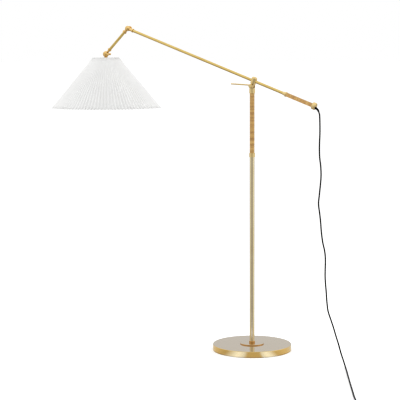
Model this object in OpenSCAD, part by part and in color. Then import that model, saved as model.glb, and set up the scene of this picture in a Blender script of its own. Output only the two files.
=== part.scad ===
// Bridge floor lamp: a round weighted base, a post, a counterweighted arm that tilts and
// swivels on the post, a short arm on an elbow knuckle, and a pleated cone shade on a second
// knuckle. Millimetres, +Z up. The origin is on the floor, at the centre of the base. The arm
// lies in the XZ plane, with its handle towards +X and the shade towards -X.

/* [Base] */
// Outside diameter of the base
base_d = 356; // [300:1:420]
// Height of the base from the floor to its top face
base_h = 28.6; // [22:0.1:40]
// Thickness of the spun cover
cover_t = 1.2; // [0.8:0.1:2]
// Rounding of the cover's top edge
cover_round = 2; // [1:0.5:4]
// Height of the cover's lower edge above the floor
cover_lift = 1; // [0.5:0.5:2]
// Thickness of the felt ring
pad_t = 2; // [1:0.5:4]
// Width of the felt ring
pad_w = 22; // [12:1:40]
// Distance from the base's edge to the felt ring
pad_inset = 6; // [4:0.5:12]
// Depth of the recess under the weight
recess_depth = 10; // [9:0.5:12]
// Diameter of the raised centre plate
plate_d = 110; // [70:1:160]
// Thickness of the raised centre plate
plate_t = 4.5; // [3:0.5:8]
// Diameter of the clamping bolt
bolt_d = 10; // [8:1:12]
// Length of the bolt's shank that enters the post
bolt_reach = 26; // [15:1:40]
// Thickness of the bolt's washer
bolt_washer_t = 2; // [1:0.5:3]

/* [Post] */
// Outside diameter of the lower post
post_d = 22.2; // [19:0.1:28]
// Wall of both post tubes
post_wall = 1.2; // [0.8:0.1:2]
// Outside diameter of the upper post, under its cane
upper_post_d = 19; // [16:0.1:20]
// Outside diameter of the ferrules and of the collar on the base
ferrule_d = 26; // [24:0.1:30]
// Height of the collar on the base
collar_h = 8; // [5:0.5:14]
// Height above the floor of the lower ferrule's lower edge
lower_ferrule_z = 880; // [600:1:1000]
// Length of the lower ferrule
lower_ferrule_h = 18; // [14:0.5:30]
// Length of the upper ferrule
upper_ferrule_h = 20.6; // [18:0.1:30]
// Depth of the sockets in the ferrules
ferrule_socket = 8; // [6:0.5:9]
// Thickness of the cane on the post
post_cane_t = 1.2; // [0.8:0.1:2]
// Turns of cane on the post
post_cane_turns = 24; // [10:1:24]

/* [Head] */
// Height of the tilt pivot above the floor
pivot_z = 1198; // [1000:1:1300]
// Outside radius of the yoke's ears
ear_r = 10; // [9:0.1:11]
// Thickness of each ear
ear_t = 5; // [4:0.1:7]
// Width of the tongue between the ears
tongue_w = 12.8; // [10:0.1:16]
// Outside radius of the tongue
tongue_r = 7.5; // [6.5:0.1:8]
// Thickness of the friction washers
friction_t = 0.7; // [0.5:0.1:1]
// Diameter of the pivot screw
pivot_d = 6; // [5:0.1:7]
// Diameter of the swivel stud
stud_d = 10; // [8:0.1:10]
// Thickness of the swivel washer
swivel_washer_t = 0.8; // [0.5:0.1:1.5]
// Diameter of the block that holds the arm
block_d = 25; // [22:0.5:26]
// Distance from the pivot to the top of the block
block_top = 42; // [38:0.5:50]
// Distance from the pivot to the arm's centre line
arm_rise = 24; // [22:0.5:28]
// Radius of the lever's hub
hub_r = 9; // [8:0.5:10]
// Length of the lever's hub
hub_h = 8.4; // [7.5:0.1:10]
// Diameter of the lever
lever_d = 6; // [5:0.1:6.5]
// Distance from the pivot to the lever's tip
lever_len = 98; // [60:1:130]
// Slope of the lever at rest
lever_rise = 3; // [0:0.5:20]
// Height of the lever's axis above the hub's centre
lever_lift = 4.4; // [0:0.1:4.5]

/* [Arm] */
// Slope of the long arm at rest
arm_slope = 19.9; // [10:0.1:30]
// Outside diameter of both arms
arm_d = 12.7; // [11:0.1:14]
// Wall of both arms
arm_wall = 1; // [0.8:0.1:1.5]
// Distance along the arm from the head to the elbow's centre
arm_reach = 710; // [500:1:800]
// Distance along the arm from the head to the handle
handle_from = 155; // [120:1:220]
// Length of the counterweight
weight_len = 145; // [100:1:200]
// Diameter of the counterweight
weight_d = 15.9; // [14.5:0.1:18]
// Bore of the counterweight
weight_bore = 7.5; // [7:0.1:8]
// Thickness of the cane on the handle
handle_cane_t = 1.1; // [0.8:0.1:2]
// Turns of cane on the handle
handle_cane_turns = 12; // [6:1:16]
// Length of the tapered ferrule in front of the handle
handle_ferrule_len = 20; // [14:0.5:30]
// Radius of the bead round the tapered ferrule's wide end
handle_bead_r = 2.2; // [1.5:0.1:3]
// Diameter of the end cap
cap_d = 32; // [28:0.5:40]
// Thickness of the end cap
cap_t = 16; // [11:0.5:20]
// Rounding of the end cap's face
cap_round = 4.5; // [3:0.5:6]
// Distance of the cord's outlet below the cap's centre
gland_drop = 6; // [0:0.5:7]

/* [Elbow] */
// Radius of the elbow's ball
elbow_r = 12.7; // [12.5:0.1:14]
// Radius of the elbow's necks
elbow_neck_r = 7; // [6.5:0.1:7.5]
// Distance from the elbow's centre to the long arm
elbow_long_collar = 33; // [30:0.5:40]
// Radius of the collar on the long arm
long_collar_r = 9; // [8:0.5:10]
// Distance from the elbow's centre to the short arm
elbow_short_collar = 26; // [24:0.5:34]
// Radius of the collar on the short arm
short_collar_r = 10; // [8:0.5:10]
// Radius of the elbow's clamping knob
elbow_knob_r = 11.5; // [9:0.5:12]
// Length of the elbow's clamping knob
elbow_knob_h = 10; // [8:0.5:14]
// Diameter of the screws through both knuckles
knuckle_screw_d = 4; // [3.5:0.1:5]
// Wall of both hollow balls
ball_wall = 3.5; // [3:0.1:4]

/* [Short arm] */
// Distance between the centres of the two knuckles
short_len = 172; // [140:1:240]
// Slope of the short arm at rest
short_slope = 43.7; // [30:0.1:50]

/* [Shade knuckle] */
// Radius of the shade knuckle's ball
knuckle_r = 14.3; // [12.5:0.1:14.5]
// Radius of its upper neck
knuckle_neck_r = 5.5; // [5.4:0.1:6]
// Distance from its centre to the short arm
knuckle_collar = 32; // [28:0.5:40]
// Radius of the collar there
knuckle_collar_r = 9; // [7.5:0.5:10]
// Radius of the neck under the ball
stem_neck_r = 7.5; // [7:0.1:9]
// Radius of the head of the small knob
knuckle_knob_r = 4.7; // [4:0.1:6]
// Length of the small knob
knuckle_knob_h = 25; // [18:0.5:30]

/* [Shade] */
// Distance from the knuckle's centre down to the shade's top edge
shade_drop = 16; // [15.5:0.5:20]
// Height of the shade
shade_h = 239; // [200:1:280]
// Outside diameter of the shade's top edge
shade_top_d = 124; // [110:1:160]
// Outside diameter of the shade's bottom edge
shade_bottom_d = 520; // [420:1:560]
// Number of pleats
pleats = 100; // [60:1:110]
// Depth of the pleats at the top edge
pleat_top = 2; // [1:0.5:3]
// Depth of the pleats at the bottom edge
pleat_bottom = 6; // [3:0.5:9]
// Thickness of the pleated cloth and its lining
shade_t = 1.2; // [0.8:0.1:2]
// Diameter of the wire in the shade's frame
wire_d = 3; // [2.5:0.1:4]
// Number of spokes in the shade's fitter
spokes = 3; // [3:1:4]

/* [Lamp holder] */
// Diameter of the threaded stem
stem_d = 10; // [9.5:0.1:11]
// Outside diameter of the lamp holder's cap
holder_cap_d = 34.4; // [33:0.1:38]
// Height of the lamp holder's cap
holder_cap_h = 12; // [10:0.5:16]
// Outside diameter of the lamp holder's shell
holder_d = 32; // [31.5:0.1:32]
// Length of the lamp holder's shell
holder_h = 50; // [47:1:60]
// Diameter of the bulb's screw cap
bulb_cap_d = 26.4; // [26:0.1:26.6]
// Diameter of the bulb's glass
bulb_d = 60; // [50:1:64]
// Length of the bulb's glass
bulb_len = 84; // [75:1:90]
// Thickness of the bulb's glass
glass_t = 1; // [0.7:0.1:1.5]
// Length of the switch key from the shell's wall outwards
key_len = 17; // [14:0.5:22]

/* [Lead and cord] */
// Diameter of the lead inside the arms
lead_d = 6.4; // [5.5:0.1:6.6]
// Diameter of the power cord
cord_d = 6.5; // [6:0.1:7]
// Radius at which the strain relief bends down
gland_bend = 26; // [24:1:40]
// Angle through which the strain relief bends down
gland_turn = 50; // [40:1:60]
// Radius of the strain relief at its root
gland_root_r = 5.5; // [5:0.1:6]
// Radius of the strain relief at its tip
gland_tip_r = 3.9; // [3.6:0.1:4.2]

/* [Hidden] */

$fn = 64;

// Clearances, all on the radius or between two faces
fit = 0.05;
run = 0.05;
face_gap = 0.3;
free_gap = 0.5;
eps = 0.01;

brass = "#c8a05a";
pale_brass = "#d8c59a";
cane = "#bf8f55";

// The recess under the weight, inside the felt ring
pad_r = base_d / 2 - pad_inset;
recess_r = pad_r - pad_w;

// Heights on the stand
plate_z = base_h + plate_t;
ferrule_r = ferrule_d / 2;
ferrule_web = lower_ferrule_h - 2 * ferrule_socket + 1;
upper_post_z = lower_ferrule_z + lower_ferrule_h - ferrule_socket;
yoke_floor = tongue_r + free_gap;
yoke_base_t = 2.6;
yoke_under = yoke_floor + yoke_base_t;
upper_ferrule_top = pivot_z - yoke_under - swivel_washer_t;
upper_ferrule_z = upper_ferrule_top - upper_ferrule_h;
upper_post_top = upper_ferrule_z + ferrule_socket;

// The head: half widths along the pivot
tongue_y = tongue_w / 2;
ear_in = tongue_y + friction_t + 0.2;
ear_out = ear_in + ear_t;
hub_y = ear_out + face_gap;
lever_y = hub_y + hub_h / 2 + 0.2;
lever_from = hub_r - 4.4;
block_from = ear_r + 1;
nut_h = 4.7;

// The arm's own frame starts where it crosses the block
arm_start = [arm_rise * sin(arm_slope), 0, pivot_z + arm_rise * cos(arm_slope)];
arm_dir = [cos(arm_slope), 0, -sin(arm_slope)];
elbow = arm_start - arm_reach * arm_dir;
short_dir = [-cos(short_slope), 0, -sin(short_slope)];
knuckle = elbow + short_len * short_dir;
arm_r = arm_d / 2;
arm_bore_r = arm_r - arm_wall;
weight_socket = 12;
weight_from = handle_from + 12;
weight_end = weight_from + weight_len;
cap_socket = 3;
cap_from = weight_end - cap_socket;
cap_face = cap_from + cap_t;
cane_from = handle_from + handle_ferrule_len;

// The shade's frame, measured down from the knuckle's centre
slant = (shade_bottom_d - shade_top_d) / 2 / shade_h;
slant_cos = 1 / sqrt(1 + slant * slant);
hub_t = 2.4;
hub_s = shade_drop + 0.6;
holder_s = hub_s + hub_t + 0.1;
cap_wall = 1;
shell_s = holder_s + cap_wall + 5;
shell_wall = 0.8;
core_s = shell_s + 3;
bulb_cap_h = 27;
glass_s = shell_s + holder_h + 0.3;
bulb_s = glass_s - bulb_cap_h;
core_t = bulb_s - core_s - 0.2;
key_s = shell_s + 14;

// The cord's start, at the tip of the strain relief
gland_root = arm_start + cap_face * arm_dir
    + gland_drop * [-sin(arm_slope), 0, -cos(arm_slope)];
function gland_at(turn) = gland_root
    + gland_bend * [cos(90 - arm_slope - turn) - cos(90 - arm_slope), 0,
                    sin(90 - arm_slope - turn) - sin(90 - arm_slope)];
function gland_heading(turn) = [cos(arm_slope + turn), 0, -sin(arm_slope + turn)];
gland_tip = gland_at(gland_turn);
cord_start_dir = gland_heading(gland_turn);

// The cord's route: down from the handle, then along the floor to the coil
cord_points = [
    [331, 4, 1058], [330, 8, 1024], [330, 8, 990], [328, 8, 930], [330, 8, 885],
    [334, 10, 850], [336, 9, 800], [332, 3, 730], [330, -2, 685], [336, -3, 645],
    [342, -5, 605], [347, -7, 560], [355, -9, 515], [365, -11, 480], [370, -14, 445],
    [373, -22, 395], [376, -28, 360], [384, -35, 310], [392, -43, 260], [400, -48, 222],
    [414, -52, 190], [429, -56, 156], [443, -61, 122], [460, -69, 86], [477, -80, 50],
    [496, -96, 22], [514, -120, 7], [531, -150, 3.5], [560, -205, 3.5], [612, -305, 3.5],
    [659, -395, 3.5], [704, -480, 3.5], [746, -560, 3.5], [772, -607, 3.5], [800, -656, 4],
    [830, -709, 4.5]
];
coil_centre = [822, -780];
coil_start_angle = 30;
coil_end_angle = -90;
coil_full_turns = 4;
coil_outer_r = 42.5;
coil_step = 7.2;
tie_t = 1.2;
coil_z = tie_t + cord_d / 2;
coil_turns = coil_full_turns + (coil_start_angle - coil_end_angle) / 360;
coil_half = coil_turns / 2;
coil_stub = 1.1 * cord_d;
coil_end_stub = 3 * cord_d;
cord_ring_step = 24;
cord_sides = 8;
coil_sides = 6;
coil_rings = 24;
plug_z = coil_z + coil_step;

// ---------- points and swept tubes ----------

function unit(v) = v / norm(v);

// A ring of points round p, square to the heading, with ref across it
function ring_at(p, heading, ref, r, sides) =
    let (side = unit(cross(heading, ref)), up = cross(side, unit(heading)))
    [for (k = [0 : sides - 1])
        p + r * (cos(360 * (k + 0.5) / sides) * side + sin(360 * (k + 0.5) / sides) * up)];

// A closed skin through rings of points that all have the same number of sides
module skin(rings) {
    n = len(rings[0]);
    last = len(rings) - 1;
    points = [for (r = rings) each r];
    sides = [for (i = [0 : last - 1], k = [0 : n - 1])
        let (a = i * n + k, b = i * n + (k + 1) % n)
        each [[a, b, b + n], [a, b + n, a + n]]];
    near = [for (k = [1 : n - 2]) [0, k + 1, k]];
    far = [for (k = [1 : n - 2]) [last * n, last * n + k, last * n + k + 1]];
    polyhedron(points, concat(sides, near, far));
}

function heading_at(points, i) =
    points[min(i + 1, len(points) - 1)] - points[max(i - 1, 0)];

// A smooth curve through points, with a ring about every step
function bend_between(a, b, c, d, t) =
    0.5 * ((2 * b) + (c - a) * t + (2 * a - 5 * b + 4 * c - d) * t * t
        + (3 * b - a - 3 * c + d) * t * t * t);
function smooth_route(points, step) =
    let (last = len(points) - 1)
    [for (i = [0 : last - 1])
        let (
            a = points[max(i - 1, 0)], b = points[i],
            c = points[i + 1], d = points[min(i + 2, last)],
            n = max(1, round(norm(c - b) / step)))
        each [for (k = [0 : n - 1]) bend_between(a, b, c, d, k / n)],
     points[last]];
function route_length(points) =
    len(points) < 2 ? 0
    : [for (i = 0, total = 0; i < len(points);
            total = total + (i + 1 < len(points) ? norm(points[i + 1] - points[i]) : 0),
            i = i + 1) total][len(points) - 1];

// ---------- shared shapes ----------

module ring(r_out, r_in, h) {
    difference() {
        cylinder(r = r_out, h = h);
        translate([0, 0, -eps]) cylinder(r = r_in, h = h + 2 * eps);
    }
}

// A disc with its top edge rounded
module round_top(r, h, round) {
    rotate_extrude() {
        square([r - round, h]);
        square([r, h - round]);
        translate([r - round, h - round]) intersection() {
            circle(round);
            square(round);
        }
    }
}

// Turned so that +Z points along +X, and along +Y or -Y
module along_x() { rotate([0, 90, 0]) children(); }
module along_y() { rotate([-90, 0, 0]) children(); }
module along_minus_y() { rotate([90, 0, 0]) children(); }

module at_pivot() { translate([0, 0, pivot_z]) children(); }
module on_arm() { translate(arm_start) rotate([0, arm_slope, 0]) children(); }
module in_block() { at_pivot() rotate([0, arm_slope, 0]) children(); }
module at_elbow(slope) { translate(elbow) rotate([0, slope, 0]) children(); }
module at_knuckle(slope) { translate(knuckle) rotate([0, slope, 0]) children(); }

// A tube along +X
module tube_x(from, to, r_out, r_in) {
    translate([from, 0, 0]) along_x() ring(r_out, r_in, to - from);
}

// Half of a hollow ball on the y side given by side, with a neck, a collar and a plug along
// +X. The screw passes along Y, and the lead along X.
module ball_half(side, r, neck_r, collar_at, collar_r, collar_t, plug_r, plug_len, lead_r,
                 screw_r) {
    pole = r - 1.5;
    y_low = side > 0 ? face_gap / 2 : -pole;
    difference() {
        union() {
            intersection() {
                union() {
                    sphere(r);
                    along_x() cylinder(r = neck_r, h = r + free_gap);
                }
                translate([-2 * r, y_low, -2 * r]) cube([4 * r, pole - face_gap / 2, 4 * r]);
            }
            translate([r + free_gap - eps, 0, 0]) along_x()
                cylinder(r = neck_r, h = collar_at - r - free_gap + eps);
            translate([collar_at - collar_t, 0, 0]) along_x()
                cylinder(r = collar_r, h = collar_t);
            translate([collar_at - eps, 0, 0]) along_x()
                cylinder(r = plug_r, h = plug_len + eps);
        }
        sphere(r - ball_wall);
        along_x() cylinder(r = lead_r, h = collar_at + plug_len + 1);
        translate([0, side > 0 ? 0 : -r, 0]) along_y() cylinder(r = screw_r, h = r);
    }
}

// A screw along Y with a domed head at the front, in a ball of radius r
module knuckle_screw_shape(r, reach) {
    pole = r - 1.5;
    head_h = 2;
    translate([0, -pole, 0]) {
        along_y() cylinder(r = knuckle_screw_d / 2, h = pole + reach);
        along_minus_y() round_top(4.6, head_h, 1.4);
    }
}

// A flat strip wound round the X or Z axis of its own frame: from z = 0 to z = length.
// Both ends run level for the first sixth of a turn.
wrap_rings = 16;
wrap_gap = 0.5;
function wrap_pitch(length, turns) = (length + wrap_gap) / (turns + 1);
function wrap_climb(angle, turns) =
    let (all = 360 * turns, level = 60, near = min(angle, all - angle),
         eased = max(0, (near - level)) * 360 / (360 - level))
    near >= 360 ? angle / 360 : (angle < all / 2 ? eased / 360 : turns - eased / 360);
function wrap_strip(r_in, t, length, turns) =
    let (pitch = wrap_pitch(length, turns), w = pitch - wrap_gap)
    [for (i = [0 : turns * wrap_rings])
        let (angle = 360 * i / wrap_rings, z = pitch * wrap_climb(angle, turns),
             c = cos(angle), s = sin(angle))
        [[r_in * c, r_in * s, z], [(r_in + t) * c, (r_in + t) * s, z],
         [(r_in + t) * c, (r_in + t) * s, z + w], [r_in * c, r_in * s, z + w]]];
// The inner radius at which the strip's flats clear a tube of radius r
function wrap_inner(r) = (r + fit) / cos(180 / wrap_rings);
// The least distance from the strip's upper edge to the next turn's lower edge
function wrap_least(strip) = min([for (
    i = [0 : len(strip) - 1], k = [wrap_rings - 2 : wrap_rings + 2]) if (i + k < len(strip))
    min(norm(strip[i][3] - strip[i + k][0]), norm(strip[i][2] - strip[i + k][1]))]);

// ---------- the stand ----------

module felt_pad() {
    color("#3a3a38") ring(pad_r, recess_r + 1, pad_t);
}

module base_weight() {
    weight_r = base_d / 2 - cover_t - face_gap;
    color("#4a4a4c") difference() {
        translate([0, 0, pad_t])
            cylinder(r = weight_r, h = base_h - cover_t - pad_t - 0.1);
        translate([0, 0, pad_t - eps]) cylinder(r = recess_r, h = recess_depth + eps);
        cylinder(r = bolt_d / 2 + face_gap, h = base_h);
    }
}

bolt_head_h = 6.4;
module base_bolt() {
    top = pad_t + recess_depth - bolt_washer_t;
    color("silver") {
        translate([0, 0, top - bolt_head_h]) cylinder(r = 0.95 * bolt_d, h = bolt_head_h, $fn = 6);
        translate([0, 0, top - eps]) cylinder(r = bolt_d / 2, h = plate_z + bolt_reach - top);
    }
}

module base_washer() {
    color("silver") translate([0, 0, pad_t + recess_depth - bolt_washer_t])
        ring(16, bolt_d / 2 + face_gap, bolt_washer_t);
}

module base_cover() {
    r = base_d / 2;
    color(brass) difference() {
        translate([0, 0, cover_lift]) round_top(r, base_h - cover_lift, cover_round);
        translate([0, 0, cover_lift - eps])
            cylinder(r = r - cover_t, h = base_h - cover_t - cover_lift + eps);
        cylinder(r = bolt_d / 2 + face_gap, h = base_h + 1);
    }
}

module centre_plate() {
    color(brass) difference() {
        translate([0, 0, base_h]) round_top(plate_d / 2, plate_t, 1.5);
        cylinder(r = bolt_d / 2 + face_gap, h = plate_z + 1);
    }
}

module post_collar() {
    color(brass) difference() {
        translate([0, 0, plate_z]) round_top(ferrule_r + 0.5, collar_h, 1);
        cylinder(r = post_d / 2 + fit, h = plate_z + collar_h + 1);
    }
}

module post_foot() {
    color("silver") translate([0, 0, plate_z])
        ring(post_d / 2 - post_wall - fit, bolt_d / 2 + fit, bolt_reach + 4);
}

module lower_post() {
    top = lower_ferrule_z + ferrule_socket;
    color(pale_brass) translate([0, 0, plate_z])
        ring(post_d / 2, post_d / 2 - post_wall, top - plate_z);
}

module lower_ferrule() {
    socket_top = lower_ferrule_z + ferrule_socket;
    color(brass) difference() {
        translate([0, 0, lower_ferrule_z]) cylinder(r = ferrule_r, h = lower_ferrule_h);
        translate([0, 0, lower_ferrule_z - eps])
            cylinder(r = post_d / 2 + fit, h = ferrule_socket + eps);
        translate([0, 0, upper_post_z]) cylinder(r = upper_post_d / 2 + fit, h = 50);
        translate([0, 0, socket_top - eps]) cylinder(r = 5, h = 50);
    }
}

module upper_post() {
    color(cane) translate([0, 0, upper_post_z])
        ring(upper_post_d / 2, upper_post_d / 2 - post_wall, upper_post_top - upper_post_z);
}

post_cane_z = lower_ferrule_z + lower_ferrule_h + 0.1;
post_cane_strip = wrap_strip(wrap_inner(upper_post_d / 2), post_cane_t,
                             upper_ferrule_z - 0.1 - post_cane_z, post_cane_turns);
module post_cane() {
    color(cane) translate([0, 0, post_cane_z]) skin(post_cane_strip);
}

module upper_ferrule() {
    color(brass) difference() {
        translate([0, 0, upper_ferrule_z]) cylinder(r = ferrule_r, h = upper_ferrule_h);
        translate([0, 0, upper_ferrule_z - eps])
            cylinder(r = upper_post_d / 2 + fit, h = ferrule_socket + eps);
        translate([0, 0, upper_ferrule_z]) cylinder(r = stud_d / 2 + run, h = 100);
    }
}

module swivel_washer() {
    color("silver") translate([0, 0, upper_ferrule_top])
        ring(stud_d / 2 + 4, stud_d / 2 + face_gap, swivel_washer_t);
}

// ---------- the head ----------

swivel_nut_h = 6;
module swivel_stud() {
    low = upper_post_top - swivel_nut_h - 1.2;
    color("silver") {
        translate([0, 0, low])
            cylinder(r = stud_d / 2, h = pivot_z - yoke_under - low);
        translate([0, 0, pivot_z - yoke_under - eps])
            cylinder(r = stud_d / 2 - 1, h = yoke_base_t + eps);
    }
}

module swivel_nut() {
    nut_r = upper_post_d / 2 - post_wall - 0.4;
    color("silver") translate([0, 0, upper_post_top - 0.2 - swivel_nut_h]) difference() {
        cylinder(r = nut_r, h = swivel_nut_h, $fn = 6);
        translate([0, 0, -1]) cylinder(r = stud_d / 2 + fit, h = swivel_nut_h + 2);
    }
}

module head_yoke() {
    ear_w = ear_r - 1;
    color(brass) at_pivot() difference() {
        intersection() {
            union() {
                translate([0, 0, -yoke_under]) cylinder(r = ear_out, h = yoke_base_t);
                for (side = [-1, 1]) translate([0, side > 0 ? ear_in : -ear_out, 0]) {
                    along_y() cylinder(r = ear_r, h = ear_t);
                    translate([-ear_w, 0, -yoke_under]) cube([2 * ear_w, ear_t, yoke_under]);
                }
            }
            translate([0, 0, -yoke_under]) cylinder(r = ear_out + 1.7, h = 3 * ear_r);
        }
        translate([0, -2 * ear_out, 0]) along_y()
            cylinder(r = pivot_d / 2 + fit, h = 4 * ear_out);
        translate([0, 0, -yoke_under - 1]) cylinder(r = stud_d / 2 - 1 + fit, h = yoke_base_t + 2);
    }
}

module pivot_screw() {
    front = hub_y + hub_h - 2;
    color("silver") at_pivot() translate([0, -front, 0]) along_y()
        cylinder(r = pivot_d / 2, h = front + ear_out + nut_h - 2);
}

module pivot_nut() {
    color(brass) at_pivot() difference() {
        translate([0, ear_out + fit, 0]) along_y() round_top(7, nut_h, 2);
        along_y() cylinder(r = pivot_d / 2 + fit, h = ear_out + nut_h - 1.8);
    }
}

module tilt_washers() {
    color("silver") at_pivot() for (side = [-1, 1])
        translate([0, side > 0 ? tongue_y + 0.1 : -tongue_y - 0.1 - friction_t, 0]) along_y()
            ring(tongue_r, pivot_d / 2 + fit, friction_t);
}

module lever_hub() {
    color(brass) at_pivot() difference() {
        translate([0, -hub_y, 0]) along_minus_y() round_top(hub_r, hub_h, 3);
        along_minus_y() cylinder(r = pivot_d / 2 + run, h = hub_y + hub_h - 1.5);
        rotate([0, 180 + lever_rise, 0]) translate([lever_from, -lever_y, -lever_lift])
            along_x() cylinder(r = lever_d / 2 + fit, h = hub_r);
    }
}

module clamp_lever() {
    color(brass) at_pivot() rotate([0, 180 + lever_rise, 0])
        translate([lever_from + fit, -lever_y, -lever_lift]) along_x()
            round_top(lever_d / 2, lever_len - lever_from - fit, 1.2);
}

// ---------- the long arm ----------

module tilt_block() {
    color(brass) in_block() difference() {
        union() {
            translate([0, 0, block_from]) round_top(block_d / 2, block_top - block_from, 7);
            translate([0, -tongue_y, 0]) along_y() cylinder(r = tongue_r, h = tongue_w);
            translate([-tongue_r, -tongue_y, 0])
                cube([2 * tongue_r, tongue_w, block_from + 1]);
        }
        translate([0, -block_d, 0]) along_y() cylinder(r = pivot_d / 2 + run, h = 2 * block_d);
        translate([-block_d, 0, arm_rise]) along_x() cylinder(r = arm_r + fit, h = 2 * block_d);
        translate([0, 0, arm_rise]) cylinder(r = 2 + fit, h = block_top);
    }
}

module block_grub() {
    low = arm_rise + arm_r + 0.1;
    color("silver") in_block() difference() {
        translate([0, 0, low]) cylinder(r = 2, h = block_top - 1 - low);
        translate([0, 0, block_top - 3]) cylinder(r = 1.15, h = 4, $fn = 6);
    }
}

module arm_tube() {
    color(brass) on_arm()
        tube_x(elbow_long_collar - arm_reach, weight_from + weight_socket, arm_r, arm_bore_r);
}

module handle_ferrule() {
    color(brass) on_arm() difference() {
        translate([handle_from, 0, 0]) along_x() {
            cylinder(r1 = arm_r + 0.9, r2 = weight_d / 2 + handle_cane_t + 0.6,
                     h = handle_ferrule_len);
            translate([0, 0, handle_ferrule_len - handle_bead_r - 2.5]) rotate_extrude()
                translate([weight_d / 2 + 1.2, 0]) circle(handle_bead_r, $fn = 24);
        }
        translate([handle_from - 1, 0, 0]) along_x() cylinder(r = arm_r + fit, h = 20);
        translate([weight_from - fit, 0, 0]) along_x()
            cylinder(r = weight_d / 2 + fit, h = handle_ferrule_len);
    }
}

module counterweight() {
    color("dimgray") on_arm() difference() {
        tube_x(weight_from, weight_end, weight_d / 2, weight_bore / 2);
        translate([weight_from - 1, 0, 0]) along_x()
            cylinder(r = arm_r + fit, h = weight_socket + 1 + fit);
    }
}

handle_cane_strip = wrap_strip(wrap_inner(weight_d / 2), handle_cane_t,
                               cap_from - cane_from - 0.2, handle_cane_turns);
module handle_cane() {
    color(cane) on_arm() translate([cane_from + 0.1, 0, 0]) along_x() skin(handle_cane_strip);
}

module end_cap() {
    color(brass) on_arm() difference() {
        translate([cap_from, 0, 0]) along_x() rotate_extrude() {
            square([cap_d / 2 - cap_round, cap_t]);
            translate([0, 2]) square([cap_d / 2, cap_t - 2 - cap_round]);
            square([cap_d / 2 - 2, 4]);
            translate([cap_d / 2 - 2, 2]) circle(2);
            translate([cap_d / 2 - cap_round, cap_t - cap_round]) circle(cap_round);
        }
        translate([cap_from - 1, 0, 0]) along_x()
            cylinder(r = weight_d / 2 + fit, h = cap_socket + 1 + fit);
        translate([cap_from, 0, 0]) along_x() cylinder(r = weight_bore / 2, h = cap_t - 4);
    }
}

module cord_gland() {
    steps = 8;
    color("#202020") skin([for (i = [0 : steps])
        let (share = i / steps)
        ring_at(gland_at(gland_turn * share), gland_heading(gland_turn * share), [0, 1, 0],
                gland_root_r + (gland_tip_r - gland_root_r) * share, 10)]);
}

module arm_lead() {
    color("#303030") on_arm() translate([elbow_long_collar - arm_reach - 4, 0, 0]) along_x()
        cylinder(r = lead_d / 2, h = arm_reach - elbow_long_collar + 4 + cap_from + cap_t - 5);
}

// ---------- the elbow ----------

plug_len = 12;
module elbow_back_half() {
    color(brass) at_elbow(arm_slope)
        ball_half(1, elbow_r, elbow_neck_r, elbow_long_collar, long_collar_r, 5,
                  arm_bore_r - fit, plug_len, lead_d / 2 + 0.2, knuckle_screw_d / 2 + run);
}

module elbow_front_half() {
    color(brass) at_elbow(180 - short_slope)
        ball_half(-1, elbow_r, elbow_neck_r, elbow_short_collar, short_collar_r, 5,
                  arm_bore_r - fit, plug_len, lead_d / 2 + 0.2, knuckle_screw_d / 2 + fit);
}

module elbow_screw() {
    color(brass) at_elbow(0) knuckle_screw_shape(elbow_r, elbow_r - 1.5 + elbow_knob_h - 3);
}

module elbow_knob() {
    pole = elbow_r - 1.5 + face_gap;
    color(brass) at_elbow(0) difference() {
        translate([0, pole, 0]) along_y() union() {
            cylinder(r = 6, h = 2);
            translate([0, 0, 2 - eps]) round_top(elbow_knob_r, elbow_knob_h - 2 + eps, 1.5);
        }
        along_y() cylinder(r = knuckle_screw_d / 2 + run, h = pole + elbow_knob_h - 2.5);
    }
}

// ---------- the short arm ----------

module short_arm_tube() {
    color(brass) at_elbow(180 - short_slope)
        tube_x(elbow_short_collar, short_len - knuckle_collar, arm_r, arm_bore_r);
}

module short_arm_lead() {
    color("#303030") at_elbow(180 - short_slope) translate([elbow_short_collar - 4, 0, 0])
        along_x() cylinder(r = lead_d / 2, h = short_len - knuckle_collar - elbow_short_collar + 8);
}

// ---------- the shade's knuckle ----------

module knuckle_back_half() {
    color(brass) at_knuckle(-short_slope)
        ball_half(1, knuckle_r, knuckle_neck_r, knuckle_collar, knuckle_collar_r, 5,
                  arm_bore_r - fit, plug_len, lead_d / 2 + 0.2, knuckle_screw_d / 2 + fit);
}

module knuckle_front_half() {
    color(brass) at_knuckle(90)
        ball_half(-1, knuckle_r, stem_neck_r, hub_s - 0.1, stem_neck_r, 1, stem_d / 2,
                  stem_len, lead_d / 2 + 0.2, knuckle_screw_d / 2 + run);
}

module knuckle_screw() {
    color(brass) at_knuckle(0)
        knuckle_screw_shape(knuckle_r, knuckle_r - 1.5 + knuckle_knob_h - 4);
}

module knuckle_knob() {
    pole = knuckle_r - 1.5 + face_gap;
    head_h = 0.4 * knuckle_knob_h;
    color(brass) at_knuckle(0) difference() {
        translate([0, pole, 0]) along_y() union() {
            cylinder(r = 3.4, h = knuckle_knob_h - head_h);
            translate([0, 0, knuckle_knob_h - head_h - eps])
                round_top(knuckle_knob_r, head_h + eps, 1);
        }
        along_y() cylinder(r = knuckle_screw_d / 2 + run, h = pole + knuckle_knob_h - 3.5);
    }
}

// ---------- the shade ----------

// Distance s is measured down from the knuckle's centre
module down(s) { translate([knuckle[0], 0, knuckle[2] - s]) children(); }

// Inner radius of the pleats' valleys at a distance s below the knuckle
top_inner = shade_top_d / 2 - pleat_top - shade_t;
bottom_inner = shade_bottom_d / 2 - pleat_bottom - shade_t;
function inner_at(s) = top_inner + (bottom_inner - top_inner) * (s - shade_drop) / shade_h;
// Radius of a frame wire that lies just inside the pleats there
function wire_ring_r(s) = inner_at(s) - (wire_d / 2 + face_gap) / slant_cos;

module wire_ring(s) {
    down(s) rotate_extrude() translate([wire_ring_r(s), 0]) circle(wire_d / 2, $fn = 24);
}

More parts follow.
